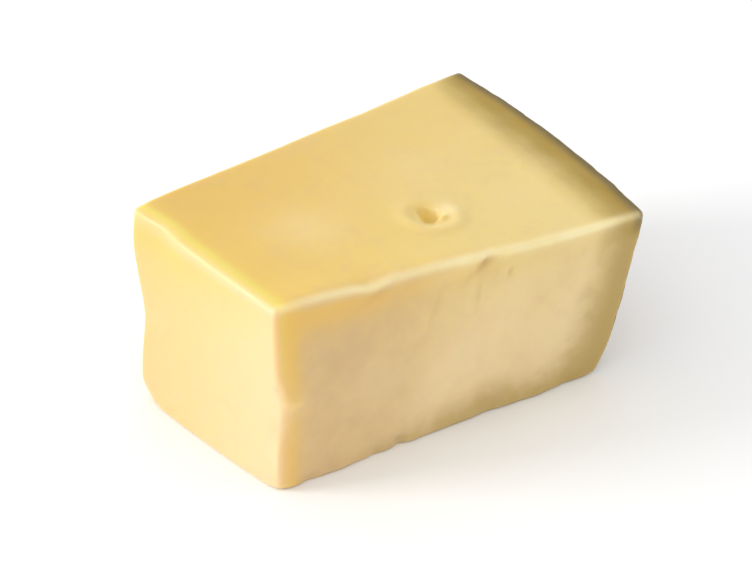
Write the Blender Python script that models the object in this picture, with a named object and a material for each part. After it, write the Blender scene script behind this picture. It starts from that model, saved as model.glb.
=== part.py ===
"""A block of emmental, cut from a large wheel.

Two radial cuts make its long sides, so it is wider at the rind than at the inner end, and two
nearly level cuts make its top and its foot. The rind side is curved as the wheel is, and leans in
towards the foot. One small eye lies open in the top.

Units are metres, +Z is up, and +X runs from the inner end to the rind. The front cut faces -Y.
A place on the block is given by three shares: along, -1 at the inner end and 1 at the rind;
across, -1 on the front cut and 1 on the back cut; and up, 0 at the foot and 1 on the top.
"""

from math import atan2, cos, exp, radians, sin, sqrt
from typing import NamedTuple

import bmesh
import bpy
from mathutils import Matrix, Vector, noise

MM = 0.001


class CrossEdge(NamedTuple):
    """One of the four edges that run across the block, from the front cut to the back cut."""

    reach: float
    width: float
    middle: float
    skew: float
    height: float
    rise: float


class Knock(NamedTuple):
    """A soft local push at one of the block's edges: its centre, its push and its half size."""

    place: Vector
    push: Vector
    reach: float


class Relief(NamedTuple):
    """A soft oval hollow or swelling in a face: its centre, height and half sizes, in that face."""

    first: float
    second: float
    height: float
    long: float
    short: float
    turn: float


# The block's cross edges. Reach and middle place an edge's midpoint, skew says how much further
# along +X its back end lies, and rise how much higher.
INNER_TOP = CrossEdge(-73.5 * MM, 72.2 * MM, -0.1 * MM, -3.9 * MM, 73.7 * MM, 3.8 * MM)
INNER_FOOT = CrossEdge(-73.9 * MM, 71.8 * MM, -0.8 * MM, -4.6 * MM, 0.0, 0.0)
RIND_TOP = CrossEdge(71.1 * MM, 104.3 * MM, 0.1 * MM, 6.0 * MM, 62.4 * MM, 3.8 * MM)
RIND_FOOT = CrossEdge(58.8 * MM, 98.7 * MM, -0.3 * MM, 6.9 * MM, 0.0, 0.0)

# The rind side: the wheel's curve, a slight barrel, a lip under the top, and the turn in towards
# the foot.
WHEEL_CURVE = 340.0 * MM
BARREL = 0.7 * MM
LIP_HEIGHT = 54.0 * MM
LIP_REACH = 5.0 * MM
LIP = 0.9 * MM
TURN_HEIGHT = 17.0 * MM
TURN_DEPTH = 2.2 * MM

# The blank that the cuts start from, and its softened edges.
BLANK_LENGTH = 140.0 * MM
BLANK_WIDTH = 87.0 * MM
BLANK_HEIGHT = 67.0 * MM
EDGE_RADIUS = 1.8 * MM
EDGE_STEPS = 2
CELLS_ALONG = 36
CELLS_ACROSS = 22
CELLS_UP = 17
FLAT_TOLERANCE = 0.02 * MM

# The foot's outline is drawn in to straight runs, by this much at most, so that the block stands
# on few corners, and the vertices between them stay this much inside each run.
FOOT_SLACK = 0.35 * MM
FOOT_INSET = 0.02 * MM

# The inner end: a trough across it, deepest at the back, a swelling over it and a full foot.
TROUGH_HEIGHT = 32.0 * MM
TROUGH_REACH = 8.8 * MM
TROUGH_MIDDLE = 0.7 * MM
TROUGH_BACK = 2.1 * MM
TROUGH_FRONT = 1.7 * MM
BROW_HEIGHT = 61.0 * MM
BROW_REACH = 6.0 * MM
BROW = 0.8 * MM
FOOT_SWELL = 1.3 * MM
FOOT_REACH = 12.0 * MM

# Reliefs in the front cut, placed by X and Z, and in the top, placed by X and Y.
FRONT_RELIEFS = {
    "pinch": Relief(7.4 * MM, 61.0 * MM, -1.1 * MM, 6.5 * MM, 2.6 * MM, radians(72)),
    "crease": Relief(3.0 * MM, 44.0 * MM, -0.5 * MM, 16.0 * MM, 2.6 * MM, radians(76)),
    "second crease": Relief(-14.5 * MM, 48.0 * MM, -0.4 * MM, 15.0 * MM, 3.2 * MM, radians(68)),
    "flap": Relief(-32.5 * MM, 65.0 * MM, 0.8 * MM, 3.4 * MM, 5.0 * MM, 0.0),
    "knuckle": Relief(-64.0 * MM, 35.0 * MM, 0.9 * MM, 4.5 * MM, 4.0 * MM, 0.0),
    "belly": Relief(30.0 * MM, 30.0 * MM, 0.6 * MM, 28.0 * MM, 18.0 * MM, 0.0),
    "foot hollow": Relief(-20.0 * MM, 2.0 * MM, -1.1 * MM, 24.0 * MM, 10.0 * MM, 0.0),
    "shelf": Relief(16.0 * MM, 62.8 * MM, 0.7 * MM, 28.0 * MM, 2.4 * MM, radians(-4)),
    "worn upright edge": Relief(-73.5 * MM, 36.0 * MM, -0.7 * MM, 4.0 * MM, 60.0 * MM, 0.0),
}
TOP_RELIEFS = {
    "inner shoulder": Relief(-56.0 * MM, -37.0 * MM, 0.8 * MM, 9.0 * MM, 8.0 * MM, 0.0),
    "notch": Relief(-37.5 * MM, -41.0 * MM, -1.1 * MM, 2.7 * MM, 4.0 * MM, 0.0),
    "step": Relief(-28.5 * MM, -41.5 * MM, 0.4 * MM, 2.0 * MM, 3.0 * MM, 0.0),
    "middle swell": Relief(-13.0 * MM, -42.0 * MM, 0.9 * MM, 16.0 * MM, 9.0 * MM, 0.0),
    "rind sag": Relief(38.0 * MM, -47.0 * MM, -0.5 * MM, 20.0 * MM, 9.0 * MM, 0.0),
    "dip": Relief(-28.0 * MM, 14.0 * MM, -0.5 * MM, 26.0 * MM, 18.0 * MM, radians(-20)),
    "worn inner edge": Relief(-75.0 * MM, 0.0, -0.9 * MM, 4.2 * MM, 60.0 * MM, 0.0),
    "rind swell": Relief(55.5 * MM, 2.0 * MM, 0.45 * MM, 4.6 * MM, 34.0 * MM, 0.0),
}
FACE_HOLD = 10.0

# Knocks at the edge of the inner end with the top and at its edge with the front cut.
KNOCKS = {
    "inner top edge": Knock(Vector((-74.5, 21.0, 74.5)) * MM, Vector((1.2, 0.0, 0.2)) * MM, 6.0 * MM),
    "inner front edge": Knock(Vector((-71.0, -36.6, 24.0)) * MM, Vector((0.9, 0.7, 0.0)) * MM, 2.6 * MM),
}

# Waviness that the knife leaves in the cuts.
WAVE_LENGTH = 27.0 * MM
WAVE_HEIGHT = 0.35 * MM

# The eye: a dish with a soft rim that fades on one side, and a hole with three blunt corners near
# the middle of it.
EYE_PLACE = Vector((5.4 * MM, -17.0 * MM))
EYE_RIM_RADIUS = 9.5 * MM
EYE_RIM_REACH = 1.9 * MM
EYE_RIM = 0.75 * MM
EYE_RIM_GAP = radians(60)
EYE_RIM_GAP_REACH = radians(60)
EYE_RIM_GAP_SHARE = 0.85
EYE_DISH_RADIUS = 8.4 * MM
EYE_DISH_FLOOR = 3.0 * MM
EYE_DISH_DEPTH = 0.8 * MM
HOLE_SHIFT = Vector((0.4 * MM, 0.5 * MM))
HOLE_RADIUS = 5.0 * MM
HOLE_FLOOR = 1.2 * MM
HOLE_DEPTH = 3.8 * MM
HOLE_CORNERS = 3
HOLE_CORNER_SHARE = 0.14
HOLE_TURN = radians(99)
EYE_GRID_RADII = (15.0 * MM, 8.0 * MM)

# Corners of the foot that are worn round: direction, distance of the wear from the sharp corner
# and the softness of its border.
WEAR_SLOPE = 1.4
WORN_FOOT = {
    "inner back": ((-1, 1), 4.2 * MM, 3.4 * MM),
    "inner front": ((-1, -1), 1.8 * MM, 2.4 * MM),
    "rind front": ((1, -1), 2.2 * MM, 2.6 * MM),
    "rind back": ((1, 1), 2.6 * MM, 3.0 * MM),
}

CHEESE_COLOUR = (0.84, 0.62, 0.27, 1.0)
CHEESE_ROUGHNESS = 0.42
SHARP_ANGLE = radians(50)


def clear_scene():
    """Remove what the scene holds."""
    for scene_object in list(bpy.data.objects):
        bpy.data.objects.remove(scene_object, do_unlink=True)


def mix(start, end, share):
    """Value between start and end."""
    return start + (end - start) * share


def smooth_step(start, end, value):
    """0 up to start, 1 from end on, and an even S between."""
    share = min(max((value - start) / (end - start), 0.0), 1.0)
    return share * share * (3.0 - 2.0 * share)


def bell(distance, reach):
    """1 at no distance, fading softly to nothing over about three reaches."""
    return exp(-0.5 * (distance / reach) ** 2)


def edge_point(edge, across):
    """Point of a cross edge."""
    half = 0.5 * across
    return Vector((edge.reach + half * edge.skew, edge.middle + half * edge.width,
                   edge.height + half * edge.rise))


def wheel_bulge(across):
    """How far the wheel's curve stands out from the straight line between its two cuts."""
    half_chord = 0.5 * RIND_TOP.width
    return sqrt(WHEEL_CURVE ** 2 - (across * half_chord) ** 2) - sqrt(WHEEL_CURVE ** 2 - half_chord ** 2)


def rind_profile(up):
    """How far the rind side stands out at a height, from its barrel, its lip and its turned foot."""
    height = up * RIND_TOP.height
    barrel = BARREL * (1.0 - (2.0 * up - 1.0) ** 2)
    turn = TURN_DEPTH * (1.0 - smooth_step(0.0, TURN_HEIGHT, height))
    lip = LIP * bell(height - LIP_HEIGHT, LIP_REACH)
    return barrel + lip - turn


def inner_profile(across, up):
    """How far the inner end stands out, from its trough, its brow and its full foot."""
    height = up * INNER_TOP.height
    side = mix(TROUGH_FRONT, TROUGH_BACK, 0.5 * (across + 1.0))
    trough = mix(TROUGH_MIDDLE, side, across * across) * bell(height - TROUGH_HEIGHT, TROUGH_REACH)
    brow = BROW * 0.5 * (across + 1.0) * bell(height - BROW_HEIGHT, BROW_REACH)
    foot = FOOT_SWELL * (1.0 - across * across) * bell(height, FOOT_REACH)
    return brow + foot - trough


def block_point(along, across, up):
    """Point of the block between its cross edges, with the shapes of its two ends."""
    inner = edge_point(INNER_FOOT, across).lerp(edge_point(INNER_TOP, across), up)
    rind = edge_point(RIND_FOOT, across).lerp(edge_point(RIND_TOP, across), up)
    share = 0.5 * (along + 1.0)
    length = rind.x - inner.x
    rind_out = wheel_bulge(across) + rind_profile(up)
    inner_out = inner_profile(across, up)
    stretched = share + (share * rind_out - (1.0 - share) * inner_out) / length
    return inner.lerp(rind, stretched)


def relief_height(relief, first, second):
    """Height of a relief at a place in its face."""
    turned_long = (first - relief.first) * cos(relief.turn) + (second - relief.second) * sin(relief.turn)
    turned_short = (second - relief.second) * cos(relief.turn) - (first - relief.first) * sin(relief.turn)
    return relief.height * bell(turned_long, relief.long) * bell(turned_short, relief.short)


def eye_depth(point):
    """Height of the top's surface in and around the eye, over the plain cut."""
    place = point.xy - EYE_PLACE
    in_hole = place - HOLE_SHIFT
    angle = atan2(in_hole.y, in_hole.x)
    blunt = 1.0 + HOLE_CORNER_SHARE * cos(HOLE_CORNERS * (angle - HOLE_TURN))
    gap = EYE_RIM_GAP_SHARE * bell(atan2(place.y, place.x) - EYE_RIM_GAP, EYE_RIM_GAP_REACH)
    rim = EYE_RIM * (1.0 - gap) * bell(place.length - EYE_RIM_RADIUS, EYE_RIM_REACH)
    dish = EYE_DISH_DEPTH * (1.0 - smooth_step(EYE_DISH_FLOOR, EYE_DISH_RADIUS, place.length))
    hole = HOLE_DEPTH * (1.0 - smooth_step(HOLE_FLOOR, HOLE_RADIUS, in_hole.length / blunt))
    return rim - dish - hole


def face_shares(along, across, up):
    """How much a place belongs to the two ends, the two cuts and the top: 1 on that face."""
    return Vector((along * abs(along) ** FACE_HOLD, across * abs(across) ** FACE_HOLD, up ** FACE_HOLD))


def knife_wave(point):
    """Waviness of the cuts at a point, out from the face."""
    return WAVE_HEIGHT * noise.noise(point / WAVE_LENGTH)


def carve(point, shares):
    """Point with the knife's waves, the knocks, the faces' reliefs and the eye."""
    waved = point + shares * knife_wave(point)
    for knock in KNOCKS.values():
        waved += knock.push * bell((point - knock.place).length, knock.reach)
    if shares.y < 0.0:
        heights = [relief_height(relief, point.x, point.z) for relief in FRONT_RELIEFS.values()]
        waved.y += shares.y * sum(heights)
    heights = [relief_height(relief, point.x, point.y) for relief in TOP_RELIEFS.values()]
    waved.z += shares.z * (sum(heights) + eye_depth(point))
    return waved


def foot_corner(direction):
    """Sharp corner of the foot that lies in a direction from the middle."""
    edge = RIND_FOOT if direction[0] > 0 else INNER_FOOT
    return edge_point(edge, direction[1])


def wear_foot(point):
    """Point with the foot's worn corners."""
    for direction, depth, softness in WORN_FOOT.values():
        outward = Vector((direction[0], direction[1], -WEAR_SLOPE)).normalized()
        over = (point - foot_corner(direction)).dot(outward) + depth
        if over > softness:
            point = point - outward * over
        elif over > -softness:
            point = point - outward * ((over + softness) ** 2 / (4.0 * softness))
    return point


def cut_cells(mesh, direction, length, cells):
    """Cut the flat runs along one direction into equal cells."""
    long_edges = [edge for edge in mesh.edges
                  if abs((edge.verts[1].co - edge.verts[0].co).dot(direction)) > 0.5 * length]
    bmesh.ops.subdivide_edges(mesh, edges=long_edges, cuts=cells - 1, use_grid_fill=True)


def blank():
    """Box with softened edges, cut into cells."""
    mesh = bmesh.new()
    bmesh.ops.create_cube(mesh, size=1.0)
    bmesh.ops.scale(mesh, vec=(BLANK_LENGTH, BLANK_WIDTH, BLANK_HEIGHT), verts=mesh.verts[:])
    bmesh.ops.translate(mesh, vec=(0.0, 0.0, 0.5 * BLANK_HEIGHT), verts=mesh.verts[:])
    bmesh.ops.bevel(mesh, geom=mesh.edges[:], offset=EDGE_RADIUS, offset_type='OFFSET', segments=EDGE_STEPS,
                    profile=0.5, affect='EDGES', material=-1)
    cut_cells(mesh, Vector((1, 0, 0)), BLANK_LENGTH, CELLS_ALONG)
    cut_cells(mesh, Vector((0, 1, 0)), BLANK_WIDTH, CELLS_ACROSS)
    cut_cells(mesh, Vector((0, 0, 1)), BLANK_HEIGHT, CELLS_UP)
    return mesh


def blank_shares(place):
    """The three shares of a place on the blank."""
    return 2.0 * place.x / BLANK_LENGTH, 2.0 * place.y / BLANK_WIDTH, place.z / BLANK_HEIGHT


def in_ring(place, ring):
    """Whether a place of the blank's top lies within a distance of the eye."""
    on_top = place.z > BLANK_HEIGHT - FLAT_TOLERANCE
    return on_top and (block_point(*blank_shares(place)).xy - EYE_PLACE).length < ring


def refine_eye(mesh):
    """Cut the cells of the top finer around the eye, once for each ring."""
    for ring in EYE_GRID_RADII:
        near = [edge for edge in mesh.edges if all(in_ring(vertex.co, ring) for vertex in edge.verts)]
        bmesh.ops.subdivide_edges(mesh, edges=near, cuts=1, use_grid_fill=True)


def shape_block(mesh):
    """Move the blank's vertices to the block's true form."""
    for vertex in mesh.verts:
        shares = blank_shares(vertex.co)
        point = carve(block_point(*shares), face_shares(*shares))
        vertex.co = wear_foot(point)


def overhangs(run, down):
    """Outward direction of a run of the foot's outline, and how far each vertex lies outside it."""
    outward = (run[-1].co - run[0].co).cross(down).normalized()
    return outward, [(vertex.co - run[0].co).dot(outward) for vertex in run]


def straighten_outline(foot):
    """Draw the foot's outline in to straight runs between few corners."""
    outline = foot.verts[:] + foot.verts[:1]
    first = 0
    while first < len(outline) - 1:
        last = first + 1
        while last < len(outline) - 1:
            if max(overhangs(outline[first:last + 2], foot.normal)[1]) > FOOT_SLACK:
                break
            last += 1
        run = outline[first:last + 1]
        outward, over = overhangs(run, foot.normal)
        for vertex, distance in zip(run[1:-1], over[1:-1]):
            vertex.co -= outward * max(distance + FOOT_INSET, 0.0)
        first = last


def flatten_foot(mesh):
    """Make the foot one flat face with few corners."""
    mesh.normal_update()
    cells = [face for face in mesh.faces if all(abs(vertex.co.z) < FLAT_TOLERANCE for vertex in face.verts)]
    foot = bmesh.ops.dissolve_faces(mesh, faces=cells)["region"][0]
    for vertex in foot.verts:
        vertex.co.z = 0.0
    foot.normal_update()
    straighten_outline(foot)
    bmesh.ops.triangulate(mesh, faces=mesh.faces[:], quad_method='BEAUTY', ngon_method='BEAUTY')


def centre_over_origin(mesh):
    """Move the block so that the middle of its box stands over the origin."""
    xs = [vertex.co.x for vertex in mesh.verts]
    ys = [vertex.co.y for vertex in mesh.verts]
    zs = [vertex.co.z for vertex in mesh.verts]
    offset = Vector((-0.5 * (min(xs) + max(xs)), -0.5 * (min(ys) + max(ys)), -min(zs)))
    bmesh.ops.transform(mesh, matrix=Matrix.Translation(offset), verts=mesh.verts[:])


def cheese_material():
    """Pale yellow paste with a waxy sheen."""
    material = bpy.data.materials.new("cheese_paste")
    material.use_nodes = True
    shader = material.node_tree.nodes["Principled BSDF"]
    shader.inputs["Base Color"].default_value = CHEESE_COLOUR
    shader.inputs["Roughness"].default_value = CHEESE_ROUGHNESS
    shader.inputs["Metallic"].default_value = 0.0
    return material


def make_block():
    """The whole block, as one object."""
    mesh = blank()
    refine_eye(mesh)
    shape_block(mesh)
    flatten_foot(mesh)
    centre_over_origin(mesh)
    data = bpy.data.meshes.new("cheese_block")
    mesh.to_mesh(data)
    mesh.free()
    data.materials.append(cheese_material())
    data.shade_smooth()
    data.set_sharp_from_angle(angle=SHARP_ANGLE)
    block = bpy.data.objects.new("cheese_block", data)
    bpy.context.scene.collection.objects.link(block)
    return block


clear_scene()
make_block()
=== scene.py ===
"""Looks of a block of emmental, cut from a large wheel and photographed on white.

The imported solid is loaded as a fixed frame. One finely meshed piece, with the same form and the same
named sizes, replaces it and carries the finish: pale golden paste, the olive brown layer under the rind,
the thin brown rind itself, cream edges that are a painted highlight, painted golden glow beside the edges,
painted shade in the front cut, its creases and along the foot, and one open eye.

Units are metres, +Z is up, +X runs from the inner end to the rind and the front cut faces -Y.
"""

import logging
from collections.abc import Iterable
from dataclasses import dataclass, field
from enum import Enum
from functools import cached_property
from math import atan2, cos, exp, pi, radians, sin, sqrt
from typing import NamedTuple

import bmesh
import bpy
from mathutils import Euler, Matrix, Vector, noise


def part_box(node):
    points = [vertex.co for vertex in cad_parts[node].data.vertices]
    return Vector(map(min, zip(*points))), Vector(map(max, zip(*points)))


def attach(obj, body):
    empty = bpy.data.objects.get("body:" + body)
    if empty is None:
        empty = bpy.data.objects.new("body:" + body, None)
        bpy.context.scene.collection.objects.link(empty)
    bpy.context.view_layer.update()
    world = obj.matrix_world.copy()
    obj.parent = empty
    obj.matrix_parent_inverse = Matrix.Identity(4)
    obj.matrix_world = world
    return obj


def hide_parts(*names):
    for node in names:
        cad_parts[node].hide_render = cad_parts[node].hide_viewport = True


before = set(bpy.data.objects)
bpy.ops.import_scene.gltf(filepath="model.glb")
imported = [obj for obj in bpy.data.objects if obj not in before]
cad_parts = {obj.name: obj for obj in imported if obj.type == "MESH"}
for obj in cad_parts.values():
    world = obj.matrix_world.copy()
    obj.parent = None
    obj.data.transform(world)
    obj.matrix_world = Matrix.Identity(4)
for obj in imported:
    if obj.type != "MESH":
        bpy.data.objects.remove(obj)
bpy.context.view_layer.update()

LOG = logging.getLogger("cheese")
MM = 0.001
NODE = "cheese_block"

Colour = tuple[float, float, float, float]
Socket = bpy.types.NodeSocket
Value = Socket | float | Colour | Vector


class Layer(Enum):
    """Surface measures that the mesh carries for its finish, by attribute name."""

    RIND_DISTANCE = "rind_distance"
    TOP_DEPTH = "top_depth"
    # The olive brown layer under the rind, and painted shade along the foot.
    STAIN_AND_FOOT_SHADE = "stain"
    # Painted shade over the inner part of the front cut.
    PAINTED_SHADE = "shade"
    EYE_HOLLOW = "eye_hollow"
    # Painted highlight along the edges and in the eye.
    PAINTED_HIGHLIGHT = "painted_highlight"
    # Painted highlight and sheen on the lit inner end.
    PAINTED_END_HIGHLIGHT = "painted_end_highlight"
    # Painted golden glow of light coming through the paste beside the edges.
    PAINTED_EDGE_GLOW = "painted_edge_glow"
    # Painted yellow glow behind the lit inner end's edges.
    PAINTED_YELLOW_GLOW = "painted_yellow_glow"
    # Painted shade in the hollows of the front cut's creases.
    CREASE = "crease"
    # Paler patches; the one on the knuckle of the front cut is a painted highlight.
    PALE = "pale"


class Face(Enum):
    """Faces of the block that have reliefs of their own."""

    FRONT = "front"
    BACK = "back"
    TOP = "top"


def mix(start: float, end: float, share: float) -> float:
    """Return the value between start and end at a share from 0 to 1."""
    return start + (end - start) * share


def smooth_step(start: float, end: float, value: float) -> float:
    """Return 0 up to start, 1 from end on, and an even S between."""
    share = min(max((value - start) / (end - start), 0.0), 1.0)
    return share * share * (3.0 - 2.0 * share)


def bell(distance: float, reach: float) -> float:
    """Return 1 at no distance, fading softly to nothing over about three reaches."""
    return exp(-0.5 * (distance / reach) ** 2)


class Shares(NamedTuple):
    """A place on the block, by shares of its length, width and height.

    along is -1 at the inner end and 1 at the rind, across is -1 on the front cut and 1 on the back
    cut, and up is 0 at the foot and 1 on the top.
    """

    along: float
    across: float
    up: float


@dataclass(frozen=True)
class CrossEdge:
    """One of the four edges that run across the block, from the front cut to the back cut."""

    reach: float
    width: float
    middle: float
    skew: float
    height: float = 0.0
    rise: float = 0.0

    def point(self, across: float) -> Vector:
        """Return the edge's point at a share of the width."""
        half = 0.5 * across
        return Vector((self.reach + half * self.skew, self.middle + half * self.width,
                       self.height + half * self.rise))


@dataclass(frozen=True)
class Relief:
    """A soft oval hollow or swelling in a face, placed in that face's own two directions."""

    first: float
    second: float
    height: float
    long: float
    short: float
    turn: float = 0.0

    def height_at(self, first: float, second: float) -> float:
        """Return the relief's height at a place in its face.

        Args:
            first: The place along the face's first direction.
            second: The place along the second.

        Returns:
            The height, or a share where the relief stands for one.
        """
        run_first = first - self.first
        run_second = second - self.second
        along = run_first * cos(self.turn) + run_second * sin(self.turn)
        aside = run_second * cos(self.turn) - run_first * sin(self.turn)
        return self.height * bell(along, self.long) * bell(aside, self.short)


def swell(first: float, second: float, height: float, long: float, short: float,
          turn: float = 0.0) -> Relief:
    """Return a swelling, or a hollow where its height is negative, from millimetres and degrees."""
    return Relief(first * MM, second * MM, height * MM, long * MM, short * MM, radians(turn))


def patch(first: float, second: float, share: float, long: float, short: float,
          turn: float = 0.0) -> Relief:
    """Return a relief whose height stands for a share, from millimetres and degrees."""
    return Relief(first * MM, second * MM, share, long * MM, short * MM, radians(turn))


@dataclass(frozen=True)
class WornCorner:
    """A corner of the foot that is worn round."""

    inner_or_rind: int
    front_or_back: int
    depth: float
    softness: float
    slope: float = 1.4

    def wear(self, point: Vector, corner: Vector) -> Vector:
        """Return a point of the block after the wear.

        Args:
            point: The point before the wear.
            corner: The sharp corner.

        Returns:
            The point, drawn in where it stood outside the worn corner.
        """
        outward = Vector((self.inner_or_rind, self.front_or_back, -self.slope)).normalized()
        over = (point - corner).dot(outward) + self.depth
        if over > self.softness:
            return point - outward * over
        if over > -self.softness:
            return point - outward * ((over + self.softness) ** 2 / (4.0 * self.softness))
        return point


@dataclass(frozen=True)
class RindSide:
    """Form of the rind side: the wheel's curve, a barrel, a lip under the top and a turned foot."""

    curve: float = 340.0 * MM
    barrel: float = 0.7 * MM
    lip: float = 0.9 * MM
    lip_height: float = 54.0 * MM
    lip_reach: float = 5.0 * MM
    turn: float = 2.2 * MM
    turn_height: float = 17.0 * MM

    def stands_out(self, shares: Shares, top: CrossEdge) -> float:
        """Return how far the rind side stands out over its four corners.

        Args:
            shares: The place on the block.
            top: The edge between the rind side and the top.

        Returns:
            The distance outwards, from the wheel's curve, the barrel, the lip and the turned foot.
        """
        half_chord = 0.5 * top.width
        bulge = sqrt(self.curve ** 2 - (shares.across * half_chord) ** 2)
        bulge -= sqrt(self.curve ** 2 - half_chord ** 2)
        height = shares.up * top.height
        barrel = self.barrel * (1.0 - (2.0 * shares.up - 1.0) ** 2)
        lip = self.lip * bell(height - self.lip_height, self.lip_reach)
        turn = self.turn * (1.0 - smooth_step(0.0, self.turn_height, height))
        return bulge + barrel + lip - turn


@dataclass(frozen=True)
class InnerEnd:
    """Form of the inner end: a trough across it, a brow over the trough and a full foot."""

    trough_height: float = 32.0 * MM
    trough_reach: float = 8.8 * MM
    trough_front: float = 1.7 * MM
    trough_middle: float = 0.7 * MM
    trough_back: float = 2.1 * MM
    brow: float = 0.8 * MM
    brow_height: float = 61.0 * MM
    brow_reach: float = 6.0 * MM
    foot: float = 1.3 * MM
    foot_reach: float = 12.0 * MM

    def stands_out(self, shares: Shares, top: CrossEdge) -> float:
        """Return how far the inner end stands out over its four corners.

        Args:
            shares: The place on the block.
            top: The edge between the inner end and the top.

        Returns:
            The distance outwards, from the brow, the full foot and the trough.
        """
        height = shares.up * top.height
        to_back = 0.5 * (shares.across + 1.0)
        middle = 1.0 - shares.across ** 2
        side = mix(self.trough_front, self.trough_back, to_back)
        trough = mix(side, self.trough_middle, middle)
        trough *= bell(height - self.trough_height, self.trough_reach)
        brow = self.brow * to_back * bell(height - self.brow_height, self.brow_reach)
        foot = self.foot * middle * bell(height, self.foot_reach)
        return brow + foot - trough


def total(reliefs: Iterable[Relief], first: float, second: float) -> float:
    """Return the height of several reliefs together at a place in their face."""
    return sum(relief.height_at(first, second) for relief in reliefs)


def eye_tears() -> dict[str, Relief]:
    """Return the reliefs of the eye's torn side, by X and Y from the eye."""
    return {
        "hollow by the lit wall": swell(5.4, 0.4, -0.15, 2.4, 1.6, 70),
        "front shred": swell(1.7, -3.7, 0.55, 1.4, 0.8, 35),
        "right shred": swell(3.1, -3.0, 0.6, 0.7, 0.5, 100),
        "back shred": swell(4.2, 1.0, 0.35, 0.9, 0.5, 60),
        "gap between the shreds": swell(3.7, -0.9, -0.35, 0.7, 0.6),
        "front slope": swell(-3.4, -4.8, -0.5, 1.6, 1.3, -40),
        "worn front rim": swell(2.9, -5.3, -0.06, 1.1, 0.7, 30),
        "filled right side": swell(3.4, -1.7, 1.0, 1.7, 0.9, 52),
        "soft back slope": swell(1.9, 3.4, -0.45, 1.8, 1.3, -38),
    }


@dataclass(frozen=True)
class Eye:
    """The open eye in the top: a dish with a soft rim, and a blunt three-cornered hole in it."""

    place: Vector = field(default_factory=lambda: Vector((5.4 * MM, -17.0 * MM)))
    rim: float = 0.75 * MM
    rim_radius: float = 9.5 * MM
    rim_reach: float = 1.9 * MM
    rim_gap: float = radians(60)
    rim_gap_reach: float = radians(60)
    rim_gap_share: float = 0.85
    dish_radius: float = 8.4 * MM
    dish_floor: float = 3.0 * MM
    dish_depth: float = 0.8 * MM
    hole_shift: Vector = field(default_factory=lambda: Vector((0.4 * MM, 0.5 * MM)))
    hole_radius: float = 5.0 * MM
    hole_floor: float = 1.2 * MM
    hole_depth: float = 3.8 * MM
    corners: int = 3
    corner_share: float = 0.14
    turn: float = radians(99)
    tears: dict[str, Relief] = field(default_factory=eye_tears)
    # Painted highlight on the rim and on the dish's wall that faces the light.
    rim_highlight: float = 0.12
    lit_wall: Relief = patch(6.8, 0.6, 0.7, 3.0, 2.4, -58)
    hollow_starts: float = 0.15
    hollow_full: float = 0.85

    def hole_distance(self, point: Vector) -> float:
        """Return the distance from the hole's middle, measured so that its wall is at one value.

        Args:
            point: A point of the top.

        Returns:
            The distance, made longer between the hole's blunt corners.
        """
        from_hole = point.xy - self.place - self.hole_shift
        angle = atan2(from_hole.y, from_hole.x)
        return from_hole.length / (1.0 + self.corner_share * cos(self.corners * (angle - self.turn)))

    def on_rim(self, aside: Vector) -> float:
        """Return how much a place beside the eye's middle belongs to its rim, from 0 to 1."""
        off_gap = atan2(aside.y, aside.x) - self.rim_gap
        closed = 1.0 - self.rim_gap_share * bell(off_gap, self.rim_gap_reach)
        return closed * bell(aside.length - self.rim_radius, self.rim_reach)

    def height_at(self, point: Vector) -> float:
        """Return the height of the top's surface in and around the eye.

        Args:
            point: A point of the top.

        Returns:
            The height over the plain cut.
        """
        aside = point.xy - self.place
        rim = self.rim * self.on_rim(aside)
        dish = self.dish_depth * (1.0 - smooth_step(self.dish_floor, self.dish_radius, aside.length))
        hole = self.hole_depth * (1.0 - smooth_step(self.hole_floor, self.hole_radius,
                                                    self.hole_distance(point)))
        return rim - dish - hole + total(self.tears.values(), aside.x, aside.y)

    def hollow(self, point: Vector) -> float:
        """Return how deep in the eye a place is, from 0 outside to 1 on its floor."""
        depth = -self.height_at(point) / (self.dish_depth + self.hole_depth)
        return smooth_step(self.hollow_starts, self.hollow_full, depth)

    def cream(self, point: Vector) -> float:
        """Return how cream a place is, from 0 to 1: painted highlight on the dish's lit wall and on its
        rim.
        """
        aside = point.xy - self.place
        return max(self.lit_wall.height_at(aside.x, aside.y), self.rim_highlight * self.on_rim(aside))


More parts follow.
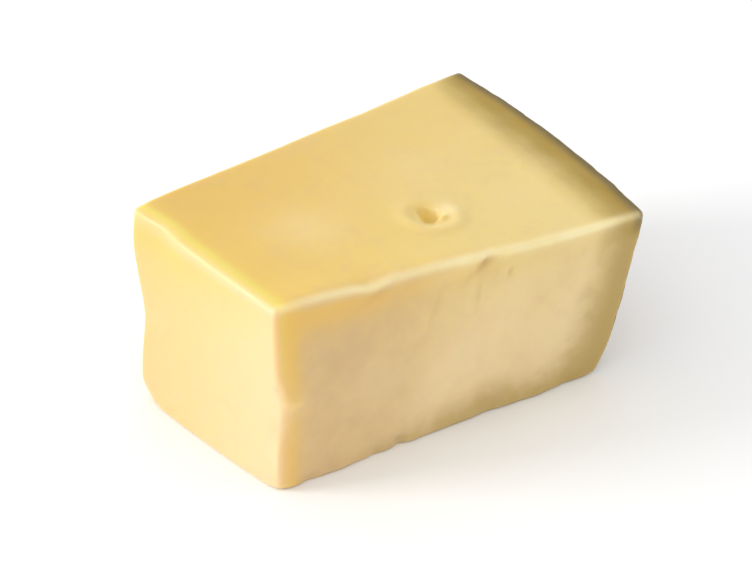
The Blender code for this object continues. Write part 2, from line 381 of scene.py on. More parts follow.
@dataclass(frozen=True)
class StainAndFootShade:
    """Reach of the olive brown layer that lies under the rind, and of painted shade along the foot in the
    same colour.

    On the top it fades far into the paste, less far by the cuts. On the cuts it ends sooner, sooner above
    than below, and along the foot it runs on as painted shade where the block stands, lower and lower
    towards the inner end.
    """

    top_start: float = 4.5 * MM
    top_end: float = 25.2 * MM
    narrow_behind: float = 0.35
    narrow_in_front: float = 0.12
    narrow_power: int = 4
    cut_start: float = 5.0 * MM
    cut_end: float = 23.0 * MM
    wider_low: float = 7.0 * MM
    narrower_high: float = 1.5 * MM
    low: float = 10.0 * MM
    high: float = 56.0 * MM
    # Painted shade along the foot, in the stain's colour, lower and lower towards the inner end.
    foot_shade_high: float = 18.5 * MM
    foot_shade_low: float = 4.0 * MM
    foot_shade_from: float = 45.0 * MM
    foot_shade_to: float = 115.0 * MM
    foot_shade_strength: float = 0.85

    def on_top(self, rind_distance: float, across: float) -> float:
        """Return how stained a place of the top is, from 0 to 1."""
        narrowing = self.narrow_behind if across > 0.0 else self.narrow_in_front
        reach = 1.0 - narrowing * across ** self.narrow_power
        return 1.0 - smooth_step(self.top_start, self.top_end, rind_distance / reach)

    def on_cut(self, rind_distance: float, height: float) -> float:
        """Return how stained a place of a cut is.

        Args:
            rind_distance: The distance from the rind.
            height: The height over the foot.

        Returns:
            The share, from 0 to 1: by the rind, wider below than above, and painted shade along the foot.
        """
        inwards = smooth_step(self.foot_shade_from, self.foot_shade_to, rind_distance)
        foot_shade = 1.0 - smooth_step(0.0, mix(self.foot_shade_high, self.foot_shade_low, inwards), height)
        upwards = smooth_step(self.low, self.high, height)
        end = self.cut_end + mix(self.wider_low, -self.narrower_high, upwards)
        by_rind = 1.0 - smooth_step(self.cut_start, end, rind_distance)
        strength = self.foot_shade_strength * (1.0 - inwards)
        return 1.0 - (1.0 - by_rind) * (1.0 - strength * foot_shade)


@dataclass(frozen=True)
class PaintedEdgeLight:
    """Reach of the painted light at the block's edges: a painted cream highlight on the edges and a painted
    golden glow of light coming through the paste beside them.

    Cream lies along the top's edges with the two cuts, more in front than behind, along the top edge of the
    inner end, and over the front half of that end. A painted yellow glow runs behind that end's edges. The
    gold fades towards the foot and the rind. The rind and the foot have no cream.
    """

    # The painted cream highlight on the top's edges with the cuts, and the paler skirt of painted light
    # under the front one.
    cream: float = 1.3 * MM
    cream_behind: float = 0.3
    cream_at_end: float = 0.65
    cream_full_from: float = 30.0 * MM
    skirt: float = 3.2 * MM
    skirt_share: float = 0.4
    skirt_starts: float = -0.5
    skirt_full: float = 0.6
    clear_of_rind: float = 22.0 * MM
    left_by_rind: float = 0.4
    # The painted cream highlight and sheen of the lit inner end, under its top edge and over its front
    # half.
    under_top: float = 1.6 * MM
    under_top_reach: float = 2.4 * MM
    under_top_behind: float = 0.4
    under_top_in_front: float = 0.8
    front_of_end_share: float = 0.6
    past_end: float = 1.25 * MM
    # The painted yellow glow behind the inner end's edges.
    yellow_from_end: float = 2.8 * MM
    yellow_reach: float = 1.5 * MM
    yellow_high: float = 12.0 * MM
    yellow_low: float = 42.0 * MM
    yellow_on_cuts: float = 0.3
    # The painted golden glow of the cuts, behind the inner end's upright edges.
    gold_from_end: float = 4.6 * MM
    gold_before: float = 2.6 * MM
    gold_beyond: float = 3.0 * MM
    gold_lost_by_foot: float = 0.35
    gold_lost_at_knuckle: float = 0.5
    knuckle: float = 38.0 * MM
    knuckle_reach: float = 8.0 * MM
    # The painted golden glow of the cuts, under the top.
    gold_under_top: float = 5.0 * MM
    gold_under_top_near_end: float = 4.6 * MM
    gold_under_top_near_rind: float = 2.8 * MM
    gold_near_end: float = 0.85
    gold_near_rind: float = 0.08
    gold_changes_from: float = -0.9
    gold_changes_to: float = 0.2
    round_reach: float = 2.2 * MM

    def on_face(self, gap: float) -> float:
        """Return how much a place belongs to a face, by its distance from it: 0 past the edge."""
        return 1.0 - smooth_step(0.0, self.round_reach, gap)

    def highlight_at(self, gaps: Vector, shares: Shares, rind_distance: float) -> float:
        """Return how much painted cream highlight a place has by the top's edges with the cuts.

        Args:
            gaps: The distances from the inner end, from the nearer cut and from the top.
            shares: The place on the block, by shares.
            rind_distance: The distance from the rind.

        Returns:
            The share, from 0 to 1.
        """
        forwards = 0.5 * (1.0 - shares.across)
        outwards = smooth_step(self.skirt_starts, self.skirt_full, shares.along)
        strength = mix(self.cream_behind, 1.0, forwards)
        strength *= mix(self.cream_at_end, 1.0, smooth_step(0.0, self.cream_full_from, gaps.x))
        line = strength * bell(max(gaps.y, gaps.z), self.cream)
        on_front = self.on_face(gaps.y) if shares.across < 0.0 else 0.0
        skirt = self.skirt_share * outwards * on_front * bell(gaps.z, self.skirt)
        off_rind = mix(self.left_by_rind, 1.0, smooth_step(0.0, self.clear_of_rind, rind_distance))
        return min(1.0, off_rind * (line + skirt))

    def end_highlight_at(self, gaps: Vector, shares: Shares) -> float:
        """Return how much painted highlight and sheen a place of the inner end has.

        Args:
            gaps: The distances from the inner end, from the nearer cut and from the top.
            shares: The place on the block, by shares.

        Returns:
            The share, from 0 to 1.
        """
        forwards = 0.5 * (1.0 - shares.across)
        below = mix(self.under_top_behind, self.under_top_in_front, forwards)
        below *= bell(max(gaps.z - self.under_top, 0.0), self.under_top_reach)
        return bell(gaps.x, self.past_end) * max(below, self.front_of_end_share * forwards ** 2)

    def glow_at(self, gaps: Vector, shares: Shares) -> float:
        """Return how much painted golden glow a place of the cuts has.

        Args:
            gaps: The distances from the inner end, from the nearer cut and from the top.
            shares: The place on the block, by shares.

        Returns:
            The share, from 0 to 1.
        """
        outwards = smooth_step(self.gold_changes_from, self.gold_changes_to, shares.along)
        past = gaps.x - self.gold_from_end
        beside = bell(past, self.gold_beyond if past > 0.0 else self.gold_before)
        beside *= 1.0 - self.gold_lost_by_foot * (1.0 - shares.up)
        beside *= 1.0 - self.gold_lost_at_knuckle * bell(gaps.z - self.knuckle, self.knuckle_reach)
        past = max(gaps.z - self.gold_under_top, 0.0)
        below = bell(past, mix(self.gold_under_top_near_end, self.gold_under_top_near_rind, outwards))
        below *= mix(self.gold_near_end, self.gold_near_rind, outwards)
        below *= smooth_step(0.0, self.gold_under_top, gaps.z)
        return self.on_face(gaps.y) * (1.0 - (1.0 - beside) * (1.0 - below))

    def yellow_glow_at(self, gaps: Vector) -> float:
        """Return how much painted yellow glow a place has.

        Args:
            gaps: The distances from the inner end, from the nearer cut and from the top.

        Returns:
            The share, from 0 to 1: a line behind the inner end's edges, fainter on the cuts.
        """
        behind = smooth_step(0.0, self.yellow_reach, gaps.x)
        behind *= bell(gaps.x - self.yellow_from_end, self.yellow_reach)
        behind *= 1.0 - smooth_step(self.yellow_high, self.yellow_low, gaps.z)
        return behind * max(self.on_face(gaps.z), self.yellow_on_cuts)


@dataclass(frozen=True)
class Dent:
    """A small local push in the surface: a nick, a knock or a lump."""

    place: Vector
    push: Vector
    reach: float

    def push_at(self, point: Vector) -> Vector:
        """Return how far the dent moves a point."""
        return self.push * bell((point - self.place).length, self.reach)


def dent(place: tuple[float, ...], push: tuple[float, ...], reach: float) -> Dent:
    """Return a dent from its place, its push and its reach in millimetres."""
    return Dent(Vector([part * MM for part in place]), Vector([part * MM for part in push]), reach * MM)


@dataclass(frozen=True)
class Wave:
    """Unevenness of one size that the cut leaves in a face."""

    length: float
    height: float

    def height_at(self, point: Vector) -> float:
        """Return the wave's height at a point."""
        return self.height * noise.noise(point / self.length)


def front_reliefs() -> dict[str, Relief]:
    """Return the broad reliefs of the front cut, by X and Z."""
    return {
        "pinch": swell(7.4, 61.0, -1.1, 6.5, 2.6, 72),
        "crease": swell(3.0, 44.0, -0.5, 16.0, 2.6, 76),
        "second crease": swell(-14.5, 48.0, -0.4, 15.0, 3.2, 68),
        "flap": swell(-32.5, 65.0, 0.8, 3.4, 5.0),
        "knuckle": swell(-64.0, 35.0, 0.9, 4.5, 4.0),
        "belly": swell(30.0, 30.0, 0.6, 28.0, 18.0),
        "foot hollow": swell(-20.0, 2.0, -1.1, 24.0, 10.0),
        "shelf": swell(16.0, 62.8, 0.7, 28.0, 2.4, -4),
        "worn upright edge": swell(-73.5, 36.0, -0.7, 4.0, 60.0),
    }


def front_creases() -> dict[str, Relief]:
    """Return the small reliefs of the front cut, by X and Z, which get painted shade in a deeper gold where
    they are hollow.
    """
    return {
        "fold in the pinch": swell(5.9, 61.8, -0.6, 2.2, 1.6, 35),
        "fold under the pinch": swell(1.8, 59.4, -0.14, 3.4, 1.2, 30),
        "middle fold": swell(3.8, 50.0, -0.16, 4.0, 1.2, 82),
        "ridge by the middle fold": swell(5.8, 49.0, 0.12, 5.0, 0.9, 78),
        "left fold": swell(-13.5, 51.0, -0.15, 5.5, 1.4, 66),
        "ridge by the left fold": swell(-17.6, 47.0, 0.16, 8.0, 1.5, 69),
        "fold behind the flap": swell(-34.0, 66.0, -0.22, 4.5, 1.2, 24),
        "nick": swell(15.3, 55.6, -0.32, 1.3, 0.8, 75),
        "lump by the nick": swell(11.8, 57.5, 0.22, 2.6, 1.8, 60),
        "hair ridge": swell(7.1, 26.5, 0.14, 4.0, 0.6, 94),
        "middle ridge": swell(-1.5, 34.0, 0.12, 6.0, 1.4, 35),
        "left hollow": swell(-24.0, 24.0, -0.08, 7.0, 2.6, 48),
        "right hollow": swell(27.0, 40.0, -0.07, 6.0, 2.2, 50),
        "inner ridge": swell(-44.0, 44.0, 0.12, 10.0, 2.4, 58),
    }


def dents() -> dict[str, Dent]:
    """Return the knocks and lumps of the edges, the front cut and the foot, from the inner end on."""
    return {
        "knock in the inner top edge": dent((-74.5, 21.0, 74.5), (1.2, 0.0, 0.2), 6.0),
        "lump in the inner top edge": dent((-74.5, 13.0, 74.5), (-0.4, 0.0, 0.3), 2.6),
        "nick over the knuckle": dent((-71.8, -36.6, 40.4), (1.1, 0.8, 0.0), 1.5),
        "knuckle's shoulder": dent((-66.5, -37.0, 35.0), (0.0, -1.3, 0.0), 2.4),
        "hollow under the knuckle": dent((-64.0, -37.2, 31.0), (0.0, 0.5, 0.0), 2.0),
        "knock in the upright edge": dent((-71.0, -36.6, 24.0), (0.9, 0.7, 0.0), 2.6),
        "lump in the upright edge": dent((-71.5, -36.6, 14.0), (-0.5, -0.5, 0.0), 3.0),
        "inner foot dent": dent((-60.0, -38.0, 1.5), (0.0, 0.8, 0.0), 2.0),
        "inner foot lump": dent((-48.0, -38.8, 1.5), (0.0, -0.5, 0.0), 2.6),
        "small foot nick": dent((-34.9, -39.6, 2.0), (0.0, 1.0, 0.0), 1.4),
        "foot notch": dent((-25.0, -40.4, 2.2), (0.0, 2.0, 0.0), 1.6),
        "lump by the notch": dent((-20.5, -40.8, 2.4), (0.0, -0.5, 0.0), 1.6),
        "middle foot dent": dent((9.0, -44.0, 1.5), (0.0, 0.7, 0.0), 2.4),
        "speck": dent((12.0, -44.5, 28.3), (0.0, 0.3, 0.0), 1.0),
        "outer foot lump": dent((28.0, -46.0, 1.5), (0.0, -0.5, 0.0), 2.6),
        "outer foot dent": dent((40.0, -47.0, 2.0), (0.0, 0.6, 0.0), 2.0),
        "scratch": dent((17.5, -45.6, 52.5), (0.0, -0.3, 0.0), 1.4),
    }


def top_reliefs() -> dict[str, Relief]:
    """Return the reliefs of the top, by X and Y."""
    return {
        "inner shoulder": swell(-56.0, -37.0, 0.8, 9.0, 8.0),
        "notch": swell(-37.5, -41.0, -1.1, 2.7, 4.0),
        "step": swell(-28.5, -41.5, 0.4, 2.0, 3.0),
        "middle swell": swell(-13.0, -42.0, 0.9, 16.0, 9.0),
        "rind sag": swell(38.0, -47.0, -0.5, 20.0, 9.0),
        "dip": swell(-28.0, 14.0, -0.5, 26.0, 18.0, -20),
        "worn inner edge": swell(-75.0, 0.0, -0.9, 4.2, 60.0),
        "rind swell": swell(55.5, 2.0, 0.45, 4.6, 34.0),
    }


def pale_patches() -> dict[Face, tuple[Relief, ...]]:
    """Return the paler patches of the front cut, by X and Z, and of the top, by X and Y; the one on the
    knuckle is a painted highlight.
    """
    return {
        Face.FRONT: (
            patch(-4.0, 27.0, 0.55, 16.0, 9.0, 40),
            patch(16.0, 46.0, 0.3, 10.0, 6.0, 20),
            patch(-36.0, 30.0, 0.25, 9.0, 8.0),
            # Painted highlight on the lit bulge of the knuckle.
            patch(-65.4, 35.0, 0.4, 2.8, 4.6),
            patch(43.0, 37.0, 0.4, 13.0, 4.5, 73),
            patch(-8.0, 62.0, 0.45, 7.0, 2.4, 8),
        ),
        Face.TOP: (
            patch(-35.0, -4.0, 0.5, 10.5, 9.5, -15),
            patch(20.0, 6.0, 0.3, 16.0, 10.0),
            patch(38.0, -22.0, 0.2, 9.0, 12.0),
        ),
    }


def back_reliefs() -> dict[str, Relief]:
    """Return the reliefs of the back cut, by X and Z."""
    return {
        "inner crease": swell(-22.0, 40.0, -0.4, 16.0, 3.0, 80),
        "outer crease": swell(26.0, 34.0, -0.4, 14.0, 2.8, 98),
    }


def placed(name: str, data: bpy.types.ID) -> bpy.types.Object:
    """Return a new object of the scene, made of a mesh, a light or a camera."""
    thing = bpy.data.objects.new(name, data)
    bpy.context.scene.collection.objects.link(thing)
    return thing


def as_object(name: str, mesh: bmesh.types.BMesh, material: bpy.types.Material) -> bpy.types.Object:
    """Turn a finished mesh into an object of the scene, and free the mesh.

    Args:
        name: The object's name.
        mesh: The finished mesh.
        material: The material of its whole surface.

    Returns:
        The object.
    """
    data = bpy.data.meshes.new(name)
    mesh.to_mesh(data)
    mesh.free()
    data.materials.append(material)
    return placed(name, data)


@dataclass(frozen=True)
class Mottle:
    """A soft noise with lumps of one size, whose values run from low to high.

    Start and end are the strengths of the noise at which it reaches low and high.
    """

    size: float
    low: float = 0.0
    high: float = 1.0
    start: float = 0.3
    end: float = 0.7
    detail: float = 3.0
    roughness: float = 0.5


@dataclass
class NodeGraph:
    """Short calls that build one material's nodes."""

    material: bpy.types.Material

    @cached_property
    def place(self) -> Socket:
        """The place on the object, in metres."""
        return self.result("ShaderNodeTexCoord", "Object", {})

    def feed(self, node: bpy.types.Node, values: dict[str | int, Value]) -> None:
        """Link sockets into a node's inputs, or set their values.

        Args:
            node: The node that is fed.
            values: What each input is fed with, by its name or number.
        """
        for name, value in values.items():
            if isinstance(value, bpy.types.NodeSocket):
                self.material.node_tree.links.new(value, node.inputs[name])
            else:
                node.inputs[name].default_value = value

    def dress(self, values: dict[str | int, Value]) -> None:
        """Feed the material's Principled shader."""
        self.feed(self.material.node_tree.nodes["Principled BSDF"], values)

    def result(self, kind: str, output: str, values: dict[str | int, Value], **settings: object) -> Socket:
        """Add a node and feed it.

        Args:
            kind: The node's type name.
            output: The name of the output to return.
            values: What each input is fed with, by its name or number.
            **settings: The node's own properties.

        Returns:
            The output.
        """
        node = self.material.node_tree.nodes.new(kind)
        for name, value in settings.items():
            setattr(node, name, value)
        self.feed(node, values)
        return node.outputs[output]

    def layer(self, layer: Layer) -> Socket:
        """Return a measure that the mesh carries."""
        return self.result("ShaderNodeAttribute", "Fac", {}, attribute_name=layer.value)

    def along(self, place: Socket, axis: str) -> Socket:
        """Return a place's part along the axis X, Y or Z."""
        return self.result("ShaderNodeSeparateXYZ", axis, {"Vector": place})

    def joined(self, first: Value, second: Value, third: Value) -> Socket:
        """Return the vector of three values."""
        return self.result("ShaderNodeCombineXYZ", "Vector", {"X": first, "Y": second, "Z": third})

    def stretched(self, *scale: float) -> Socket:
        """Return the place on the object with its three directions scaled."""
        return self.result("ShaderNodeMapping", "Vector", {"Vector": self.place, "Scale": scale})

    def noise(self, place: Socket, lumps: Mottle) -> Socket:
        """Return a mottle's own noise, from about 0 to 1, without its range."""
        return self.result("ShaderNodeTexNoise", "Fac", {
            "Vector": place, "Scale": 1.0 / lumps.size,
            "Detail": lumps.detail, "Roughness": lumps.roughness,
        })

    def ramp(self, value: Socket, start: float, end: float, low: float = 0.0, high: float = 1.0) -> Socket:
        """Return a value that runs smoothly from low to high as another runs from start to end."""
        return self.result("ShaderNodeMapRange", "Result", {
            "Value": value, "From Min": start, "From Max": end, "To Min": low, "To Max": high,
        }, interpolation_type='SMOOTHSTEP')

    def mottled(self, lumps: Mottle, place: Socket | None = None) -> Socket:
        """Return a mottle, read at the place on the object or at another."""
        own = self.noise(place or self.place, lumps)
        return self.ramp(own, lumps.start, lumps.end, lumps.low, lumps.high)

    def maths(self, operation: str, first: Value, second: Value) -> Socket:
        """Return the result of one sum, named as in the maths node."""
        return self.result("ShaderNodeMath", "Value", {0: first, 1: second}, operation=operation)

    def blend(self, share: Value, first: Value, second: Value) -> Socket:
        """Return the colour between two others, by the share of the second."""
        return self.result("ShaderNodeMix", "Result", {"Factor": share, "A": first, "B": second},
                           data_type='RGBA')

    def bump(self, height: Socket, distance: float, **under: Socket) -> Socket:
        """Return the normal of a relief with a full height in metres, over another Normal or none."""
        return self.result("ShaderNodeBump", "Normal", {
            "Height": height, "Distance": distance, "Strength": 1.0, **under,
        })


@dataclass(frozen=True)
class PasteTone:
    """Colour of the paste, from the inner end to the rind and from the back to the front, with painted
    shade over the inner part of the front cut.
    """

    top_inner_back: Colour = (0.745, 0.492, 0.115, 1.0)
    top_inner_front: Colour = (0.79, 0.553, 0.132, 1.0)
    top_outer_back: Colour = (0.76, 0.561, 0.19, 1.0)
    top_outer_front: Colour = (0.787, 0.622, 0.256, 1.0)
    cut_inner_back: Colour = (0.735, 0.5, 0.236, 1.0)
    cut_inner_front: Colour = (0.8, 0.596, 0.308, 1.0)
    cut_outer: Colour = (0.815, 0.642, 0.375, 1.0)
    # Painted shade over the inner part of the front cut, also the darker end of the clouds and blots.
    shade: Colour = (0.64, 0.445, 0.222, 1.0)
    pale_top: Colour = (0.83, 0.635, 0.3, 1.0)
    pale_cut: Colour = (0.85, 0.69, 0.42, 1.0)
    outer_from: float = 145.0 * MM
    outer_to: float = 20.0 * MM
    half_width: float = 42.0 * MM
    top_depth: float = 18.0 * MM
    painted_shade_share: float = 0.8
    clouds: Mottle = Mottle(24.0 * MM, -0.1, 0.1)
    blots: Mottle = Mottle(6.0 * MM, -0.1, 0.1, 0.25, 0.75, roughness=0.55)

    def colour(self, graph: NodeGraph) -> Socket:
        """Return the paste's colour.

        Args:
            graph: The material's nodes.

        Returns:
            The colour: golden at the inner end and the back, paler in the cuts and in patches, and darker
                in painted shade over the inner part of the front cut.
        """
        outwards = graph.ramp(graph.layer(Layer.RIND_DISTANCE), self.outer_from, self.outer_to)
        forwards = graph.ramp(graph.along(graph.place, 'Y'), self.half_width, -self.half_width)
        inner = graph.blend(forwards, self.top_inner_back, self.top_inner_front)
        outer = graph.blend(forwards, self.top_outer_back, self.top_outer_front)
        inner_cut = graph.blend(forwards, self.cut_inner_back, self.cut_inner_front)
        depth = graph.maths('DIVIDE', graph.layer(Layer.TOP_DEPTH), self.top_depth)
        deep = graph.maths('SUBTRACT', 1.0, graph.maths('POWER', 0.5, depth))
        paste = graph.blend(deep, graph.blend(outwards, inner, outer),
                            graph.blend(outwards, inner_cut, self.cut_outer))
        # Painted shade of the front cut's inner part, with clouds and blots of the same darker colour.
        shade = graph.maths('MULTIPLY', graph.layer(Layer.PAINTED_SHADE), self.painted_shade_share)
        clouded = graph.maths('ADD', shade, graph.mottled(self.clouds))
        blotted = graph.maths('ADD', clouded, graph.mottled(self.blots))
        shaded = graph.blend(blotted, paste, self.shade)
        return graph.blend(graph.layer(Layer.PALE), shaded, graph.blend(deep, self.pale_top, self.pale_cut))


@dataclass(frozen=True)
class StainTone:
    """Colour of the olive brown layer under the rind, with streaks along the rind; the painted shade along
    the foot takes the same colour.
    """

    on_top: Colour = (0.395, 0.253, 0.02, 1.0)
    on_cut: Colour = (0.515, 0.365, 0.12, 1.0)
    deep: Colour = (0.155, 0.108, 0.028, 1.0)
    cut_from: float = 12.0 * MM
    deep_from: float = 1.5 * MM
    deep_to: float = 6.0 * MM
    deep_share: float = 0.95
    lumps: Mottle = Mottle(13.6 * MM, -0.3, 0.3, 0.25, 0.75)
    chips: Mottle = Mottle(8.0 * MM, -0.55, 0.55, detail=2.0)
    streak: Mottle = Mottle(4.2 * MM, -1.0, 1.0, 0.25, 0.75, detail=2.0)
    streak_draw: float = 0.2
    streak_raggedness: float = 0.14
    streak_darkness: float = 0.1

    def streaks(self, graph: NodeGraph) -> Socket:
        """Return streaks that are drawn out along the rind.

        Args:
            graph: The material's nodes.

        Returns:
            The streaks' strength, from -1 to 1.
        """
        drawn = graph.stretched(0.0, self.streak_draw, self.streak_draw)
        across = graph.joined(graph.layer(Layer.RIND_DISTANCE), graph.along(drawn, 'Y'),
                              graph.along(drawn, 'Z'))
        return graph.mottled(self.streak, across)

    def over(self, graph: NodeGraph, paste: Socket) -> Socket:
        """Return the paste's colour with the stain.

        Args:
            graph: The material's nodes.
            paste: The paste's own colour.

        Returns:
            The colour: soft and lumpy where the layer ends, darker in streaks and at the rind.
        """
        stain = graph.layer(Layer.STAIN_AND_FOOT_SHADE)
        cut_share = graph.ramp(graph.layer(Layer.TOP_DEPTH), 0.0, self.cut_from)
        top_share = graph.maths('SUBTRACT', 1.0, cut_share)
        streaks = graph.maths('MULTIPLY', self.streaks(graph), top_share)
        torn = graph.maths('ADD', graph.maths('MULTIPLY', graph.mottled(self.chips), cut_share),
                           graph.maths('MULTIPLY', streaks, self.streak_raggedness))
        ragged = graph.maths('ADD', graph.mottled(self.lumps), torn)
        open_part = graph.maths('MULTIPLY', stain, graph.maths('SUBTRACT', 1.0, stain))
        share = graph.maths('ADD', stain, graph.maths('MULTIPLY', open_part, ragged))
        layer = graph.blend(cut_share, self.on_top, self.on_cut)
        darkness = graph.ramp(streaks, -1.0, 1.0, 0.0, self.streak_darkness)
        stained = graph.blend(share, paste, graph.blend(darkness, layer, self.deep))
        near = graph.ramp(graph.layer(Layer.RIND_DISTANCE), self.deep_from, self.deep_to,
                          self.deep_share, 0.0)
        return graph.blend(graph.maths('MULTIPLY', near, top_share), stained, self.deep)


@dataclass(frozen=True)
class RindTone:
    """Colour and reach of the thin rind: its outer side, and its ragged line in the cuts."""

    line: Colour = (0.175, 0.128, 0.044, 1.0)
    tan: Colour = (0.355, 0.215, 0.077, 1.0)
    brown: Colour = (0.18, 0.107, 0.04, 1.0)
    blotches: Mottle = Mottle(17.0 * MM, 0.0, 0.6, detail=4.0, roughness=0.6)
    flecks: Mottle = Mottle(2.6 * MM, 0.0, 0.42, 0.45, 0.75, detail=4.0, roughness=0.7)
    fleck_flatness: float = 2.5
    skin: float = 0.4 * MM
    ragged: Mottle = Mottle(4.0 * MM, -0.35 * MM, 0.35 * MM, detail=4.0, roughness=0.6)
    solid: float = 1.5 * MM
    ends: float = 2.2 * MM
    thinner_from: float = 0.5 * MM
    thinner_to: float = 3.0 * MM
    thinner_by: float = 1.0 * MM

    def share(self, graph: NodeGraph) -> Socket:
        """Return how much a place is rind.

        Args:
            graph: The material's nodes.

        Returns:
            The share: 1 on the rind side and in a thin ragged line on the top, thinner on the cuts, and
                less where the painted highlight runs over the edges.
        """
        on_cut = graph.ramp(graph.layer(Layer.TOP_DEPTH), self.thinner_from, self.thinner_to, 0.0,
                            self.thinner_by)
        further = graph.maths('ADD', graph.mottled(self.ragged), on_cut)
        distance = graph.maths('ADD', graph.layer(Layer.RIND_DISTANCE), further)
        line = graph.ramp(distance, self.solid, self.ends, 1.0, 0.0)
        # The painted highlight over the edges lifts the dark rind line.
        worn = graph.maths('SUBTRACT', 1.0, graph.layer(Layer.PAINTED_HIGHLIGHT))
        return graph.maths('MULTIPLY', line, worn)

    def colour(self, graph: NodeGraph) -> Socket:
        """Return the rind's colour.

        Args:
            graph: The material's nodes.

        Returns:
            The colour: tan with brown blotches and fine flecks, and dark where it is cut through.
        """
        flat = graph.stretched(1.0, 1.0, self.fleck_flatness)
        browned = graph.maths('ADD', graph.mottled(self.blotches), graph.mottled(self.flecks, flat))
        side = graph.blend(browned, self.tan, self.brown)
        at_side = graph.ramp(graph.layer(Layer.RIND_DISTANCE), 0.0, self.skin, 1.0, 0.0)
        return graph.blend(at_side, self.line, side)


@dataclass(frozen=True)
class CheeseFinish:
    """Finish of the block: the paste with its eye, the painted highlights, glow and shade at its edges and
    creases, the stain and the rind.
    """

    paste: PasteTone = PasteTone()
    stain: StainTone = StainTone()
    rind: RindTone = RindTone()
    # Painted golden glow of light coming through the paste beside the edges.
    golden: Colour = (0.785, 0.505, 0.12, 1.0)
    # Painted yellow glow behind the lit inner end's edges.
    painted_glow_yellow: Colour = (0.79, 0.66, 0.15, 1.0)
    # Painted highlight along the edges and in the eye.
    painted_highlight_cream: Colour = (0.89, 0.78, 0.49, 1.0)
    # Painted highlight and sheen on the lit inner end.
    painted_end_cream: Colour = (0.82, 0.592, 0.375, 1.0)
    # Painted shade in the creases of the front cut.
    painted_crease_shade: Colour = (0.6, 0.37, 0.11, 1.0)
    eye_gold: Colour = (0.86, 0.665, 0.175, 1.0)
    # Unevenness of the painted highlight along the edges.
    highlight_unevenness: Mottle = Mottle(14.0 * MM, 0.65, 0.95)
    light_travel_share: float = 1.0
    light_travel: tuple[float, float, float] = (0.5, 0.48, 0.18)
    light_travel_scale: float = 6.0 * MM
    refraction: float = 1.45
    smears: Mottle = Mottle(9.0 * MM, 0.36, 0.5)
    rind_dullness: float = 0.2
    grain: Mottle = Mottle(1.6 * MM, detail=4.0, roughness=0.6)
    grain_height: float = 0.035 * MM
    cloth: Mottle = Mottle(2.4 * MM, roughness=0.6)
    cloth_height: float = 0.35 * MM
    cloth_flatness: float = 4.0

    def build(self) -> bpy.types.Material:
        """Build the finish.

        Returns:
            The material.
        """
        material = bpy.data.materials.new("cheese_paste_and_rind")
        material.use_nodes = True
        graph = NodeGraph(material)
        rind_share = self.rind.share(graph)
        graph.dress({
            "Base Color": self.colour(graph, rind_share),
            "Normal": self.relief(graph, rind_share),
            "Roughness": self.gloss(graph, rind_share),
            "IOR": self.refraction,
            "Subsurface Weight": self.light_travel_share,
            "Subsurface Radius": self.light_travel,
            "Subsurface Scale": self.light_travel_scale,
        })
        return material

    def colour(self, graph: NodeGraph, rind_share: Socket) -> Socket:
        """Return the colour of the whole surface.

        Args:
            graph: The material's nodes.
            rind_share: How much a place is rind.

        Returns:
            The colour: the paste, its painted golden and yellow glow, the painted shade of its creases, the
                stain, the painted highlights on the edges and the lit inner end, and the rind.
        """
        paste = graph.blend(graph.layer(Layer.EYE_HOLLOW), self.paste.colour(graph), self.eye_gold)
        # Painted golden and yellow glow beside the edges, painted shade in the creases, then painted
        # highlights on the edges and on the lit inner end.
        glowing = graph.blend(graph.layer(Layer.PAINTED_EDGE_GLOW), paste, self.golden)
        yellow_glowing = graph.blend(graph.layer(Layer.PAINTED_YELLOW_GLOW), glowing, self.painted_glow_yellow)
        crease_shaded = graph.blend(graph.layer(Layer.CREASE), yellow_glowing, self.painted_crease_shade)
        # Painted highlight along the edges, uneven along their length.
        cream = graph.maths('MULTIPLY', graph.layer(Layer.PAINTED_HIGHLIGHT), graph.mottled(self.highlight_unevenness))
        highlighted = graph.blend(cream, self.stain.over(graph, crease_shaded), self.painted_highlight_cream)
        end_lit = graph.blend(graph.layer(Layer.PAINTED_END_HIGHLIGHT), highlighted, self.painted_end_cream)
        return graph.blend(rind_share, end_lit, self.rind.colour(graph))

    def gloss(self, graph: NodeGraph, rind_share: Socket) -> Socket:
        """Return the roughness: waxy on the paste and dull on the rind."""
        dull = graph.maths('MULTIPLY', rind_share, self.rind_dullness)
        return graph.maths('ADD', graph.mottled(self.smears), dull)

    def relief(self, graph: NodeGraph, rind_share: Socket) -> Socket:
        """Return the normal of the surface with its finest relief.

        Args:
            graph: The material's nodes.
            rind_share: How much a place is rind.

        Returns:
            The normal, with the paste's grain and the imprint of cloth in the rind.
        """
        grain = graph.bump(graph.noise(graph.place, self.grain), self.grain_height)
        flat = graph.stretched(1.0, 1.0, self.cloth_flatness)
        imprint = graph.maths('MULTIPLY', graph.noise(flat, self.cloth), rind_share)
        return graph.bump(imprint, self.cloth_height, Normal=grain)


